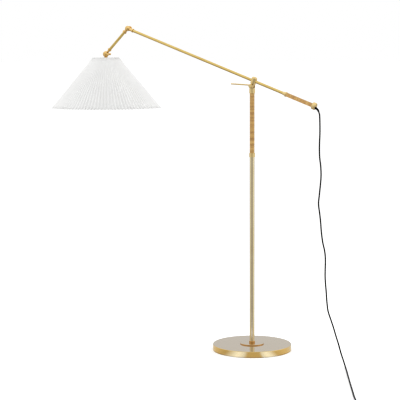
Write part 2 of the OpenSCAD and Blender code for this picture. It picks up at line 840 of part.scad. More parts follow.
module shade_fitter() {
    s = hub_s + hub_t / 2;
    color(brass) {
        difference() {
            union() {
                down(hub_s + hub_t) cylinder(r = 13, h = hub_t);
                down(s) for (k = [0 : spokes - 1]) rotate([0, 0, 60 + 360 * k / spokes])
                    translate([10, 0, 0]) along_x()
                        cylinder(r = wire_d / 2 - 0.4, h = wire_ring_r(s) - 10);
            }
            down(hub_s + hub_t + 1) cylinder(r = stem_d / 2 + fit, h = hub_t + 2);
        }
        wire_ring(s);
    }
}

bottom_ring_s = shade_drop + shade_h - wire_d;
module shade_bottom_ring() { color("white") wire_ring(bottom_ring_s); }

function pleat_ring(z, r, depth) = [for (k = [0 : 2 * pleats - 1])
    let (rk = r - (k % 2) * depth) [rk * cos(180 * k / pleats), rk * sin(180 * k / pleats), z]];
module pleated_shade() {
    n = 2 * pleats;
    top_r = shade_top_d / 2;
    bottom_r = shade_bottom_d / 2;
    points = concat(
        pleat_ring(-shade_h, bottom_r, pleat_bottom), pleat_ring(0, top_r, pleat_top),
        pleat_ring(0, top_r - shade_t, pleat_top),
        pleat_ring(-shade_h, bottom_r - shade_t, pleat_bottom));
    faces = [for (row = [0 : 3], k = [0 : n - 1])
        let (a = row * n + k, b = row * n + (k + 1) % n, c = ((row + 1) % 4) * n + (k + 1) % n,
             d = ((row + 1) % 4) * n + k)
        each [[a, c, b], [a, d, c]]];
    color("white") down(shade_drop) polyhedron(points, faces);
}

// ---------- the lamp holder and the bulb ----------

stem_len = hub_t + cap_wall + 6;
holder_nut_h = 4;

module holder_nut() {
    color("silver") down(holder_s + cap_wall + 0.1 + holder_nut_h) difference() {
        cylinder(r = 8, h = holder_nut_h, $fn = 6);
        translate([0, 0, -1]) cylinder(r = stem_d / 2 + fit, h = holder_nut_h + 2);
    }
}

module holder_cap() {
    color(brass) down(holder_s + holder_cap_h) difference() {
        round_top(holder_cap_d / 2, holder_cap_h, 2);
        translate([0, 0, -eps]) cylinder(r = holder_cap_d / 2 - cap_wall,
                                         h = holder_cap_h - cap_wall + eps);
        cylinder(r = stem_d / 2 + fit, h = holder_cap_h + 1);
    }
}

module holder_shell() {
    color(brass) difference() {
        down(shell_s + holder_h) ring(holder_d / 2, holder_d / 2 - shell_wall, holder_h);
        down(key_s) along_minus_y() cylinder(r = 2.3, h = holder_d);
    }
}

module holder_core() {
    core_r = holder_d / 2 - shell_wall - fit;
    color("ivory") {
        down(core_s + core_t) cylinder(r = core_r, h = core_t);
        down(shell_s + holder_h - 1)
            ring(core_r, bulb_cap_d / 2 + 0.2, holder_h - 1 - core_t - 3 + eps);
    }
}

module switch_key() {
    root = holder_d / 2 - shell_wall + fit;
    color("#2a2a2a") down(key_s) {
        translate([0, -root, 0]) along_minus_y() cylinder(r = 2.25, h = key_len);
        translate([0, -holder_d / 2 - 0.2, 0]) along_minus_y() cylinder(r = 3.6, h = 2);
        translate([-1.6, -root - key_len, -6]) cube([3.2, 9, 12]);
    }
}

module bulb_cap() {
    color("silver") down(bulb_s + bulb_cap_h) cylinder(r = bulb_cap_d / 2, h = bulb_cap_h);
}

// Half outline of the bulb, from its neck to its tip, shrunk by a wall
function bulb_r(share) = let (neck = 0.44 * bulb_d / 2, swell = sin(90 * min(1, share / 0.6)))
    neck + (bulb_d / 2 - neck) * swell * swell;
module bulb_outline(wall) {
    centre = bulb_len - bulb_d / 2;
    steps = 10;
    intersection() {
        union() {
            translate([0, -centre]) circle(bulb_d / 2 - wall);
            polygon(concat([[0, -wall], [0, -centre]],
                [for (i = [steps : -1 : 0]) let (share = i / steps)
                    [bulb_r(0.6 * share) - wall, -wall - (centre - wall) * share]]));
        }
        translate([0, -bulb_len]) square([bulb_d, bulb_len]);
    }
}
module bulb_glass() {
    color("white", 0.8) down(glass_s + 0.1) difference() {
        rotate_extrude() bulb_outline(0);
        rotate_extrude() bulb_outline(glass_t);
    }
}

// ---------- the cord, its coil and its plug ----------

// The coil starts square to the cord's end and turns clockwise seen from above
function coil_radius(t) = coil_outer_r - coil_step * (t < coil_half ? t : coil_turns - t);
function coil_height(t) =
    let (u = max(0, min(1, (t - coil_half + 0.25) / 0.5)))
    coil_z + coil_step * u * u * (3 - 2 * u);
function coil_at(t) =
    let (angle = coil_start_angle - 360 * t)
    [coil_centre[0] + coil_radius(t) * cos(angle), coil_centre[1] + coil_radius(t) * sin(angle),
     coil_height(t)];
coil_start_dir = [sin(coil_start_angle), -cos(coil_start_angle), 0];
coil_end_dir = [sin(coil_end_angle), -cos(coil_end_angle), 0];
coil_first = coil_at(0) - coil_stub * coil_start_dir;
coil_last = coil_at(coil_turns) + coil_end_stub * coil_end_dir;
coil_steps = ceil(coil_turns * coil_rings);
coil_route = concat([coil_first, coil_first + 0.5 * coil_stub * coil_start_dir],
    [for (i = [0 : coil_steps]) coil_at(coil_turns * i / coil_steps)],
    [coil_last - 0.5 * coil_end_stub * coil_end_dir, coil_last]);
coil_headings = concat([coil_start_dir, coil_start_dir],
    [for (i = [2 : len(coil_route) - 3]) heading_at(coil_route, i)],
    [coil_end_dir, coil_end_dir]);
// Least gap between two stretches of the coil that are half a turn or more apart
coil_least = min([for (
    i = [0 : len(coil_route) - 1], k = [i + coil_rings / 2 : len(coil_route) - 1])
    if (k < len(coil_route)) norm(coil_route[i] - coil_route[k])]) - cord_d;

cord_gap = 0.1;
cord_route = concat(
    [gland_tip + cord_gap * cord_start_dir, gland_tip + cord_d * cord_start_dir],
    smooth_route(concat([gland_tip + 2 * cord_d * cord_start_dir], cord_points,
                        [coil_first - cord_d * coil_start_dir]), cord_ring_step),
    [coil_first]);
cord_headings = [for (i = [0 : len(cord_route) - 1])
    i < 2 ? cord_start_dir : i > len(cord_route) - 3 ? coil_start_dir
    : heading_at(cord_route, i)];
cord_side = [cos(30), sin(30), 0];

module power_cord() {
    color("#151515") skin([for (i = [0 : len(cord_route) - 1])
        ring_at(cord_route[i], cord_headings[i], cord_side, cord_d / 2, cord_sides)]);
}

module cord_coil() {
    color("#151515") skin([for (i = [0 : len(coil_route) - 1])
        ring_at(coil_route[i], coil_headings[i], [0, 0, 1], cord_d / 2, coil_sides)]);
}

// A flat strap round the coil's turns
tie_angle = 150;
tie_w = 9;
module cord_tie() {
    inner = coil_radius(coil_half) - cord_d / 2 - 1;
    outer = coil_outer_r + cord_d / 2 + 1;
    high = coil_z + coil_step + cord_d / 2 + 0.3;
    corner = 3;
    color("#101010") translate([coil_centre[0], coil_centre[1], 0]) rotate([0, 0, tie_angle])
        translate([0, tie_w / 2, 0]) rotate([90, 0, 0]) linear_extrude(tie_w) difference() {
            strap_outline(inner - tie_t, outer + tie_t, 0, high + tie_t, corner);
            strap_outline(inner, outer, tie_t, high, corner - tie_t);
        }
}
module strap_outline(x0, x1, z0, z1, corner) {
    translate([x0 + corner, z0]) square([x1 - x0 - 2 * corner, z1 - z0]);
    translate([x0, z0 + corner]) square([x1 - x0, z1 - z0 - 2 * corner]);
    for (x = [x0 + corner, x1 - corner], z = [z0 + corner, z1 - corner])
        translate([x, z]) circle(corner);
}

// The plug lies on the floor, heading on from the coil's end
plug_len_y = 34;
plug_w = 26;
plug_relief = 22;
module at_plug() { translate(coil_last) rotate([0, 0, 180]) children(); }
module plug_body() {
    flat = 2 * plug_z;
    color("#151515") at_plug() {
        along_x() cylinder(r1 = cord_d / 2 + 0.5, r2 = 7, h = plug_relief + eps);
        translate([plug_relief, 0, 0]) intersection() {
            translate([0, -plug_w / 2, -plug_z]) cube([plug_len_y, plug_w, flat]);
            along_x() cylinder(r = 0.62 * plug_w, h = plug_len_y);
        }
    }
}
module plug_blades() {
    color("silver") at_plug() for (side = [-1, 1])
        translate([plug_relief + plug_len_y, side * 6.35 - 0.75, -3.15]) cube([17, 1.5, 6.3]);
}

echo(least_gap_post_cane = wrap_least(post_cane_strip));
echo(least_gap_handle_cane = wrap_least(handle_cane_strip));
echo(least_gap_coil = coil_least);
echo(cord_rings = len(cord_route), cord_free_length = route_length(cord_route),
     cord_coil_length = route_length(coil_route));
echo(gland_tip = gland_tip, elbow = elbow, knuckle = knuckle, coil_first = coil_first,
     coil_last = coil_last);

felt_pad();
base_weight();
base_bolt();
base_washer();
base_cover();
centre_plate();
post_collar();
post_foot();
lower_post();
lower_ferrule();
upper_post();
post_cane();
upper_ferrule();
swivel_washer();
swivel_stud();
swivel_nut();
head_yoke();
pivot_screw();
pivot_nut();
tilt_washers();
lever_hub();
clamp_lever();
tilt_block();
block_grub();
arm_tube();
handle_ferrule();
counterweight();
handle_cane();
end_cap();
cord_gland();
arm_lead();
elbow_back_half();
elbow_front_half();
elbow_screw();
elbow_knob();
short_arm_tube();
short_arm_lead();
knuckle_back_half();
knuckle_front_half();
knuckle_screw();
knuckle_knob();
shade_fitter();
shade_bottom_ring();
pleated_shade();
holder_nut();
holder_cap();
holder_shell();
holder_core();
switch_key();
bulb_cap();
bulb_glass();
power_cord();
cord_coil();
cord_tie();
plug_body();
plug_blades();
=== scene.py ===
import math
import random

import bmesh
import bpy
from mathutils import Matrix, Vector


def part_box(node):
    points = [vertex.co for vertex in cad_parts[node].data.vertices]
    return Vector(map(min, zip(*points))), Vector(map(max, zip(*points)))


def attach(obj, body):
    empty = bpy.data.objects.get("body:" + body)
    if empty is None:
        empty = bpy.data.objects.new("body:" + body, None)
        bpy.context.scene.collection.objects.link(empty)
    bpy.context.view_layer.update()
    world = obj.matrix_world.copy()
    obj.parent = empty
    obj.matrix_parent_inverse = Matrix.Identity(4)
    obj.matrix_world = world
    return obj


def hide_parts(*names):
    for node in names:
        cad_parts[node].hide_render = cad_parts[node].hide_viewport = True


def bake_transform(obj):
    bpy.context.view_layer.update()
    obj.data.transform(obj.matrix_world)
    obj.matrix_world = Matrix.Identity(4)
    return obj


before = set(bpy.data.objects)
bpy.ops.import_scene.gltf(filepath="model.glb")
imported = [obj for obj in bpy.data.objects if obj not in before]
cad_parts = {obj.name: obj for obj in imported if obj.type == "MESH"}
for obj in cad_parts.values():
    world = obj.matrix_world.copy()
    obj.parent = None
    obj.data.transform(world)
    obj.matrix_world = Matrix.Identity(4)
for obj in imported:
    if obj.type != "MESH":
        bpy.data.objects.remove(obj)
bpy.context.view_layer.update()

MM = 0.001

# ---------- sizes of the lamp, in metres ----------

PIVOT = Vector((0, 0, 1.198))  # where the head lets the arm tilt
ARM_RISE = 0.024  # the arm's middle line above the pivot, square to the arm
ARM_SLOPE = math.radians(19.9)  # the handle's end is the low one
SHORT_ARM_SLOPE = math.radians(43.7)
CAP_FACE = 0.325  # the end cap's face, along the arm from the pivot
GLAND_DROP = 0.006  # the strain relief's root below the arm's middle line
GLAND_BEND = 0.026
GLAND_TURN = math.radians(50)
CORD_D = 0.0065

ARM_START = PIVOT + ARM_RISE * Vector((math.sin(ARM_SLOPE), 0, math.cos(ARM_SLOPE)))
ARM_DIR = Vector((math.cos(ARM_SLOPE), 0, -math.sin(ARM_SLOPE)))
ALONG_ARM = Matrix.Translation(ARM_START) @ Matrix.Rotation(ARM_SLOPE, 4, "Y")
X_FROM_Z = Matrix.Rotation(math.radians(90), 4, "Y")

# ---------- camera ----------

YAW = math.radians(30)
PITCH = math.radians(6.017)
ROLL = math.radians(-0.215)
CAMERA_PLACE = (2.8147, -5.3448, 1.3231)
LENS_MM = 121.2
SENSOR_MM = 36


def make_camera():
    """The camera of the photograph: yaw to the right side, pitch down, and a slight roll."""
    forward = Vector((-math.sin(YAW) * math.cos(PITCH), math.cos(YAW) * math.cos(PITCH),
                      -math.sin(PITCH)))
    right = Vector((math.cos(YAW), math.sin(YAW), 0))
    up = right.cross(forward)
    across = math.cos(ROLL) * right + math.sin(ROLL) * up
    above = across.cross(forward)
    data = bpy.data.cameras.new("camera")
    data.lens = LENS_MM
    data.sensor_width = SENSOR_MM
    data.clip_end = 900
    camera = bpy.data.objects.new("camera", data)
    turn = Matrix((across, above, -forward)).transposed()
    camera.matrix_world = Matrix.Translation(CAMERA_PLACE) @ turn.to_4x4()
    bpy.context.scene.collection.objects.link(camera)
    bpy.context.scene.camera = camera


make_camera()

# ---------- finishes ----------


class Value:
    """A socket of a finish that takes part in arithmetic."""

    def __init__(self, finish, socket):
        self.finish = finish
        self.socket = socket

    def maths(self, operation, *terms):
        return self.finish.node("Math", {"operation": operation}, terms)

    def __add__(self, other):
        return self.maths("ADD", self, other)

    def __sub__(self, other):
        return self.maths("SUBTRACT", self, other)

    def __rsub__(self, other):
        return self.maths("SUBTRACT", other, self)

    def __mul__(self, other):
        return self.maths("MULTIPLY", self, other)

    def __truediv__(self, other):
        return self.maths("DIVIDE", self, other)

    def __pow__(self, other):
        return self.maths("POWER", self, other)

    def __gt__(self, other):
        return self.maths("GREATER_THAN", self, other)

    __radd__ = __add__
    __rmul__ = __mul__


class Nodes:
    """A shader tree whose nodes are added one by one."""

    def __init__(self, owner):
        self.owner = owner
        owner.use_nodes = True
        self.tree = owner.node_tree
        self.tree.nodes.clear()

    def node(self, kind, settings=None, inputs=(), output=0):
        made = self.tree.nodes.new("ShaderNode" + kind)
        for name, value in (settings or {}).items():
            if name == "stops":
                self.stops(made.color_ramp, value)
            else:
                setattr(made, name, value)
        pairs = inputs.items() if isinstance(inputs, dict) else enumerate(inputs)
        for key, value in pairs:
            if isinstance(value, Value):
                self.tree.links.new(value.socket, made.inputs[key])
            elif value is not None:
                made.inputs[key].default_value = value
        return Value(self, made.outputs[output])

    @staticmethod
    def stops(ramp, stops):
        while len(ramp.elements) < len(stops):
            ramp.elements.new(0.5)
        for element, (place, colour) in zip(ramp.elements, stops):
            element.position = place
            element.color = (*colour, 1)

    def axes(self, vector, names):
        """The named parts of a vector, such as "XYZ"."""
        return [self.node("SeparateXYZ", inputs=[vector], output=name) for name in names]

    def ramp(self, value, *stops):
        return self.node("ValToRGB", {"stops": stops}, [value])

    def spread(self, value, low, high, to_low=0.0, to_high=1.0):
        """Goes from to_low to to_high while value goes from low to high."""
        return self.node("MapRange", inputs=[value, low, high, to_low, to_high])

    def mix(self, share, first, second):
        return self.node("Mix", {"data_type": "RGBA"},
                         {0: share, 6: first, 7: second}, output=2)

    def end(self, kind, shader):
        """Leads the shader to the tree's output and gives back the material or world."""
        out = self.tree.nodes.new(kind)
        self.tree.links.new(shader.socket, out.inputs["Surface"])
        return self.owner


class Finish(Nodes):
    """A procedural material on Object coordinates, which paint() ends."""

    def __init__(self, name):
        super().__init__(bpy.data.materials.new(name))

    def place(self, turn=(0, 0, 0), stretch=(1, 1, 1)):
        """Object coordinates, turned and then stretched."""
        here = self.node("TexCoord", output="Object")
        turned = self.node("Mapping", {"vector_type": "POINT"},
                           {"Vector": here, "Rotation": turn})
        return self.node("VectorMath", {"operation": "MULTIPLY"}, [turned, stretch])

    def noise(self, vector, scale, detail=3.0, roughness=0.55):
        return self.node("TexNoise", inputs={
            "Vector": vector, "Scale": scale, "Detail": detail, "Roughness": roughness})

    def bump(self, height, depth, strength=1.0):
        return self.node("Bump", inputs={
            "Strength": strength, "Distance": depth, "Height": height})

    def paint(self, **sockets):
        inputs = {name.replace("_", " "): value for name, value in sockets.items()}
        return self.end("ShaderNodeOutputMaterial", self.node("BsdfPrincipled", inputs=inputs))


def rgba(red, green, blue):
    """A display colour from 0 to 255, as the linear colour that a shader takes."""
    def linear(channel):
        share = channel / 255
        return share / 12.92 if share < 0.04045 else ((share + 0.055) / 1.055) ** 2.4
    return (linear(red), linear(green), linear(blue), 1.0)


def drawn_metal(name, light, dark, rough, turn=(0, 0, 0), along=(1, 1, 1), coat=0.25, underside_shade=0.0):
    """Lacquered metal with fine drawn lines along its length and a few dull patches.

    The last argument is how far the underside is painted brown, as painted shade where the surface
    faces down."""
    finish = Finish(name)
    lines = finish.noise(finish.place(turn, along), 900.0, 2.0)
    patches = finish.noise(finish.place(), 14.0, 4.0)
    share = finish.spread(lines * 0.3 + patches * 0.7, 0.35, 0.65)
    # Painted shade: the base colour goes brown where the surface faces down.
    up, = finish.axes(finish.node("TexCoord", output="Normal"), "Z")
    painted_underside_shade = finish.spread(up, -0.95, 0.0, underside_shade, 0.0)
    return finish.paint(
        Base_Color=finish.mix(painted_underside_shade, finish.mix(share, dark, light), UNDERSIDE_SHADE_BROWN), Metallic=1.0,
        Roughness=finish.spread(patches + lines * 0.4, 0.4, 1.0, rough - 0.05, rough + 0.08),
        Normal=finish.bump(lines, 0.00002, 0.1), Coat_Weight=coat, Coat_Roughness=0.12)


LINES_ALONG_X = (0.02, 1, 1)
LINES_ALONG_Z = (1, 1, 0.02)
# The brown of the painted shade on the undersides.
UNDERSIDE_SHADE_BROWN = rgba(140, 98, 44)
GOLD = rgba(248, 222, 158)
GOLD_DARK = rgba(235, 206, 140)
TUBE_GOLD = rgba(234, 205, 126)
TUBE_DARK = rgba(217, 186, 106)
PALE = rgba(239, 223, 184)
PALE_DARK = rgba(228, 209, 165)

# The last argument of each sets how dark the painted shade on its underside is.
gold = drawn_metal("gold_brass", GOLD, GOLD_DARK, 0.42, underside_shade=0.4)
ball_gold = drawn_metal("ball_brass", rgba(246, 210, 138), rgba(232, 190, 112), 0.28, underside_shade=0.6)
arm_gold = drawn_metal("gold_tube", TUBE_GOLD, TUBE_DARK, 0.22,
                       (0, -ARM_SLOPE, 0), LINES_ALONG_X, underside_shade=0.7)
short_gold = drawn_metal("gold_short_tube", TUBE_GOLD, TUBE_DARK, 0.22,
                         (0, SHORT_ARM_SLOPE, 0), LINES_ALONG_X, underside_shade=0.2)
warm = drawn_metal("warm_brass", rgba(226, 176, 106), rgba(204, 152, 84), 0.3)
pale = drawn_metal("pale_brass", PALE, PALE_DARK, 0.2, along=LINES_ALONG_Z)
zinc = drawn_metal("zinc_steel", rgba(200, 200, 196), rgba(170, 170, 166), 0.35, coat=0.0)


def base_metal(name, level, rim_light, rim_dark):
    """Spun brass: polished and paler above level, with fine turned rings, and a satin rim."""
    finish = Finish(name)
    here = finish.place()
    x, y, z = finish.axes(here, "XYZ")
    radius = (x * x + y * y) ** 0.5
    top = finish.spread(z, level - 0.0008, level - 0.0002)
    turned = finish.noise(finish.node("CombineXYZ", inputs=[radius, 0.0, z * 4.0]), 2600.0, 2.0)
    haze = finish.noise(here, 9.0, 3.0)
    rim = finish.mix(haze, rim_dark, rim_light)
    face = finish.mix(haze, rgba(182, 154, 104), rgba(192, 166, 119))
    # Painted shade: the bottom of the rim, by the floor, is darker.
    rim_floor_shade = finish.spread(z, 0.0045, 0.0055)
    rim = finish.mix(rim_floor_shade, rgba(205, 178, 118), rim)
    return finish.paint(
        Base_Color=finish.mix(top, rim, face), Metallic=1.0,
        Roughness=0.18 - 0.08 * top + 0.05 * turned,
        Normal=finish.bump(turned, 0.00002, 0.2), Coat_Weight=1.0 - 0.25 * top,
        Coat_Roughness=0.08)


def split_cane(name, turn, pitch, dark, middle, light):
    """Lacquered split cane: long fibres round the wrap, and a shade of its own every few turns."""
    finish = Finish(name)
    here = finish.place(turn)
    along, = finish.axes(here, "Z")
    fibres = finish.noise(finish.place(turn, (60, 60, 2200)), 1.0, 3.0)
    turns = finish.noise(finish.node("CombineXYZ", inputs=[0.0, 0.0, along]), 0.33 / pitch, 2.0)
    blots = finish.noise(finish.place(turn, (160, 160, 420)), 1.0, 3.0)
    tone = finish.spread(turns * 0.7 + fibres * 0.2 + blots * 0.2, 0.4, 0.7)
    colour = finish.ramp(tone, (0.0, dark[:3]), (0.45, middle[:3]), (1.0, light[:3]))
    return finish.paint(
        Base_Color=colour, Roughness=finish.spread(fibres, 0.3, 0.7, 0.38, 0.55),
        Normal=finish.bump(fibres + blots * 0.4, 0.00025, 0.5), Coat_Weight=0.5,
        Coat_Roughness=0.2)


def shade_cloth():
    """White cloth with a fine plain weave, a little uneven."""
    finish = Finish("pleated_cloth")
    threads = finish.noise(finish.place(stretch=(1, 1, 0.15)), 2400.0, 2.0)
    slubs = finish.noise(finish.place(stretch=(1, 1, 6)), 260.0, 3.0)
    clouds = finish.noise(finish.place(), 18.0, 3.0)
    tone = finish.spread(threads * 0.3 + slubs * 0.3 + clouds * 0.4, 0.35, 0.65)
    return finish.paint(
        Base_Color=finish.mix(tone, rgba(220, 220, 219), rgba(228, 228, 227)),
        Roughness=0.85, Normal=finish.bump(threads + slubs, 0.0001, 0.2),
        Sheen_Weight=0.3, Sheen_Roughness=0.5, Specular_IOR_Level=0.2)


def vinyl(name, colour, rough=0.45):
    """Black flexible plastic with a faint grain and dusty patches."""
    finish = Finish(name)
    grain = finish.noise(finish.place(), 1400.0, 2.0)
    dust = finish.noise(finish.place(), 25.0, 4.0)
    pale_colour = tuple(1.6 * channel for channel in colour[:3]) + (1.0,)
    return finish.paint(
        Base_Color=finish.mix(finish.spread(dust, 0.5, 0.75), colour, pale_colour),
        Roughness=finish.spread(dust, 0.3, 0.7, rough - 0.05, rough + 0.12),
        Normal=finish.bump(grain, 0.00006, 0.35), Specular_IOR_Level=0.08)


def mottled(name, light, dark, scale, rough, depth=0.0001, metallic=0.0, coat=0.0):
    """A plain finish whose colour and gloss vary a little."""
    finish = Finish(name)
    grain = finish.noise(finish.place(), scale, 4.0)
    return finish.paint(
        Base_Color=finish.mix(finish.spread(grain, 0.35, 0.65), dark, light),
        Metallic=metallic, Roughness=finish.spread(grain, 0.3, 0.7, rough, rough + 0.12),
        Normal=finish.bump(grain, depth, 0.5), Coat_Weight=coat)


def frosted_glass():
    """A frosted bulb: milky, with a faint cloudy veil."""
    finish = Finish("frosted_glass")
    veil = finish.noise(finish.place(), 60.0, 3.0)
    return finish.paint(
        Base_Color=finish.mix(veil, rgba(244, 243, 238), rgba(250, 249, 245)),
        Roughness=finish.spread(veil, 0.3, 0.7, 0.28, 0.4), Coat_Weight=0.4,
        Subsurface_Weight=0.3)


base_brass = base_metal("base_brass", 0.0286, rgba(240, 211, 141), rgba(228, 197, 122))
plate_brass = base_metal("plate_brass", 0.0331, rgba(214, 168, 104), rgba(196, 148, 84))
post_cane_finish = split_cane("post_cane", (0, 0, 0), 0.0047, rgba(132, 90, 41),
                              rgba(175, 133, 67), rgba(206, 170, 100))
handle_cane_finish = split_cane("handle_cane", (0, math.radians(-90) - ARM_SLOPE, 0), 0.0048,
                                rgba(164, 118, 60), rgba(187, 143, 76), rgba(208, 171, 102))
cloth = shade_cloth()
black = vinyl("black_vinyl", rgba(9, 9, 10))
plug_black = vinyl("plug_vinyl", rgba(22, 22, 24), 0.5)
strap_black = mottled("strap", rgba(34, 34, 36), rgba(22, 22, 24), 900.0, 0.7, 0.0003)
felt = mottled("felt", rgba(64, 64, 62), rgba(40, 40, 39), 1500.0, 0.9, 0.0006)
iron = mottled("cast_iron", rgba(92, 92, 94), rgba(60, 60, 62), 240.0, 0.6, 0.0004, 0.7)
steel_tube = mottled("drawn_steel", rgba(170, 166, 158), rgba(140, 137, 130), 300.0, 0.35,
                     0.00005, 1.0)
white_coat = mottled("white_wire", rgba(236, 236, 234), rgba(224, 224, 221), 400.0, 0.4)
porcelain = mottled("insulator", rgba(238, 233, 222), rgba(228, 222, 209), 120.0, 0.3,
                    0.00005, coat=0.4)
switch_plastic = mottled("switch_key", rgba(38, 36, 35), rgba(26, 25, 24), 500.0, 0.3, coat=0.3)
bulb_metal = mottled("bulb_cap", rgba(214, 214, 212), rgba(190, 190, 188), 500.0, 0.3,
                     0.00005, 1.0)
blade_metal = mottled("plug_blade", rgba(214, 200, 158), rgba(190, 172, 126), 600.0, 0.28,
                      0.00003, 1.0)
glass = frosted_glass()

# ---------- pieces ----------


def piece(name, mesh, finish, body, slot, *nodes, smooth=True):
    """A finished mesh becomes a piece that rides on a body and stands for CAD nodes."""
    data = bpy.data.meshes.new(name)
    mesh.to_mesh(data)
    mesh.free()
    made = bpy.data.objects.new(name, data)
    bpy.context.scene.collection.objects.link(made)
    data.materials.append(finish)
    if smooth:
        data.shade_smooth()
    if body:
        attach(made, body)
    if nodes:
        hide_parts(*nodes)
    return made


def only(items, kind):
    """The items of this bmesh kind."""
    return [item for item in items if isinstance(item, kind)]


def closed_loop(mesh, outline):
    """Vertices joined in a ring."""
    points = [mesh.verts.new(point) for point in outline]
    return points, [mesh.edges.new((points[k - 1], points[k])) for k in range(len(points))]


def tidy(mesh):
    """Joins doubled vertices and turns the faces outwards."""
    bmesh.ops.remove_doubles(mesh, verts=mesh.verts[:], dist=1e-6)
    bmesh.ops.recalc_face_normals(mesh, faces=mesh.faces[:])
    return mesh


def bridged(mesh, loops):
    """A skin from each loop of edges to the next."""
    for first, second in zip(loops, loops[1:]):
        bmesh.ops.bridge_loops(mesh, edges=first + second)
    return tidy(mesh)


def spun(outline, steps=96):
    """A ring of this outline of radius and height, turned about Z."""
    mesh = bmesh.new()
    points, edges = closed_loop(mesh, [(r, 0, z) for r, z in outline])
    bmesh.ops.spin(mesh, geom=points + edges, cent=(0, 0, 0), axis=(0, 0, 1),
                   angle=math.tau, steps=steps, use_merge=True)
    return tidy(mesh)


def wound_strip(inner, thick, start, end, turns, steps=28):
    """A strip with rounded edges, wound about Z from start to end with hardly a gap."""
    pitch = (end - start) / turns
    width = 0.97 * pitch
    low = start - width
    outline = [(inner, 0, low), (inner + 0.7 * thick, 0, low),
               (inner + thick, 0, low + 0.2 * width), (inner + 1.04 * thick, 0, low + 0.5 * width),
               (inner + thick, 0, low + 0.8 * width), (inner + 0.7 * thick, 0, low + width),
               (inner, 0, low + width)]
    mesh = bmesh.new()
    points, edges = closed_loop(mesh, outline)
    bmesh.ops.spin(mesh, geom=points + edges, cent=(0, 0, 0), axis=(0, 0, 1),
                   dvec=(0, 0, pitch / steps), angle=math.tau * (turns + 1),
                   steps=(turns + 1) * steps)
    for level, keep_above in ((start, 1), (end, -1)):
        cut = bmesh.ops.bisect_plane(mesh, geom=mesh.verts[:] + mesh.edges[:] + mesh.faces[:],
                                     plane_co=(0, 0, level), plane_no=(0, 0, keep_above),
                                     clear_inner=True)["geom_cut"]
        bmesh.ops.edgenet_fill(mesh, edges=only(cut, bmesh.types.BMEdge))
    return tidy(mesh)


def tube(name, points, diameter):
    """A round tube through points, as a mesh."""
    curve = bpy.data.curves.new(name, "CURVE")
    curve.dimensions = "3D"
    curve.bevel_depth = diameter / 2
    curve.bevel_resolution = 3
    curve.use_fill_caps = True
    curve.twist_mode = "MINIMUM"
    line = curve.splines.new("POLY")
    line.points.add(len(points) - 1)
    for made, point in zip(line.points, points):
        made.co = (*point, 1)
    drawn = bpy.data.objects.new(name + " line", curve)
    bpy.context.scene.collection.objects.link(drawn)
    bpy.context.view_layer.update()
    data = bpy.data.meshes.new_from_object(drawn)
    bpy.data.objects.remove(drawn)
    mesh = bmesh.new()
    mesh.from_mesh(data)
    return tidy(mesh)


# ---------- the cord: its route and coil in millimetres, as the solids have them ----------

CORD_POINTS = [
    (331, 4, 1058), (330, 8, 1024), (330, 8, 990), (328, 8, 930), (330, 8, 885),
    (334, 10, 850), (336, 9, 800), (332, 3, 730), (330, -2, 685), (336, -3, 645),
    (342, -5, 605), (347, -7, 560), (355, -9, 515), (365, -11, 480), (370, -14, 445),
    (373, -22, 395), (376, -28, 360), (384, -35, 310), (392, -43, 260), (400, -48, 222),
    (414, -52, 190), (429, -56, 156), (443, -61, 122), (460, -69, 86), (477, -80, 50),
    (496, -96, 22), (514, -120, 7), (531, -150, 3.5), (560, -205, 3.5), (612, -305, 3.5),
    (659, -395, 3.5), (704, -480, 3.5), (746, -560, 3.5), (772, -607, 3.5), (800, -656, 4),
    (830, -709, 4.5)]
CORD_R = 3.25
STRAP_THICK = 1.2
STRAP_PLAY = 1.0
STRAP_ROUND = 2.0
STRAP_HALF_WIDTH = 4.5
GLAND_R = 5.5
GLAND_TIP_R = 3.9
COIL_CENTRE = (822, -780)
COIL_ANGLES = (30, -90)
COIL_FULL_TURNS = 4
COIL_OUTER = 42.5
COIL_STEP = 7.2
COIL_LOW = STRAP_THICK + CORD_R
COIL_TURNS = COIL_FULL_TURNS + (COIL_ANGLES[0] - COIL_ANGLES[1]) / 360
TIE_ANGLE = 150


def gland_point(turn):
    """A point on the strain relief's bend, and the way it heads there."""
    root = (ARM_START + CAP_FACE * ARM_DIR
            - GLAND_DROP * Vector((math.sin(ARM_SLOPE), 0, math.cos(ARM_SLOPE))))
    start, now = math.pi / 2 - ARM_SLOPE, math.pi / 2 - ARM_SLOPE - turn
    bend = Vector((math.cos(now) - math.cos(start), 0, math.sin(now) - math.sin(start)))
    heading = Vector((math.cos(ARM_SLOPE + turn), 0, -math.sin(ARM_SLOPE + turn)))
    return root + GLAND_BEND * bend, heading


def coil_point(turns):
    """A point of the coil: inwards on the floor layer, then up and outwards on the second."""
    angle = math.radians(COIL_ANGLES[0] - 360 * turns)
    inward = turns if turns < COIL_TURNS / 2 else COIL_TURNS - turns
    radius = COIL_OUTER - COIL_STEP * inward
    rise = max(0.0, min(1.0, (turns - COIL_TURNS / 2 + 0.25) / 0.5))
    height = COIL_LOW + COIL_STEP * rise * rise * (3 - 2 * rise)
    return MM * Vector((COIL_CENTRE[0] + radius * math.cos(angle),
                        COIL_CENTRE[1] + radius * math.sin(angle), height))


def coil_heading(degrees):
    """The way the cord runs at this angle of the coil."""
    return Vector((math.sin(math.radians(degrees)), -math.cos(math.radians(degrees)), 0))


def smooth(points, step):
    """A curve through points, with a point about every step."""
    line = []
    last = len(points) - 1
    for k in range(last):
        a, b, c, d = (points[min(max(k + shift, 0), last)] for shift in (-1, 0, 1, 2))
        count = max(1, round((c - b).length / step))
        for t in (i / count for i in range(count)):
            line.append(0.5 * (2 * b + (c - a) * t + (2 * a - 5 * b + 4 * c - d) * t * t
                               + (3 * b - a - 3 * c + d) * t ** 3))
    return line + [points[last]]


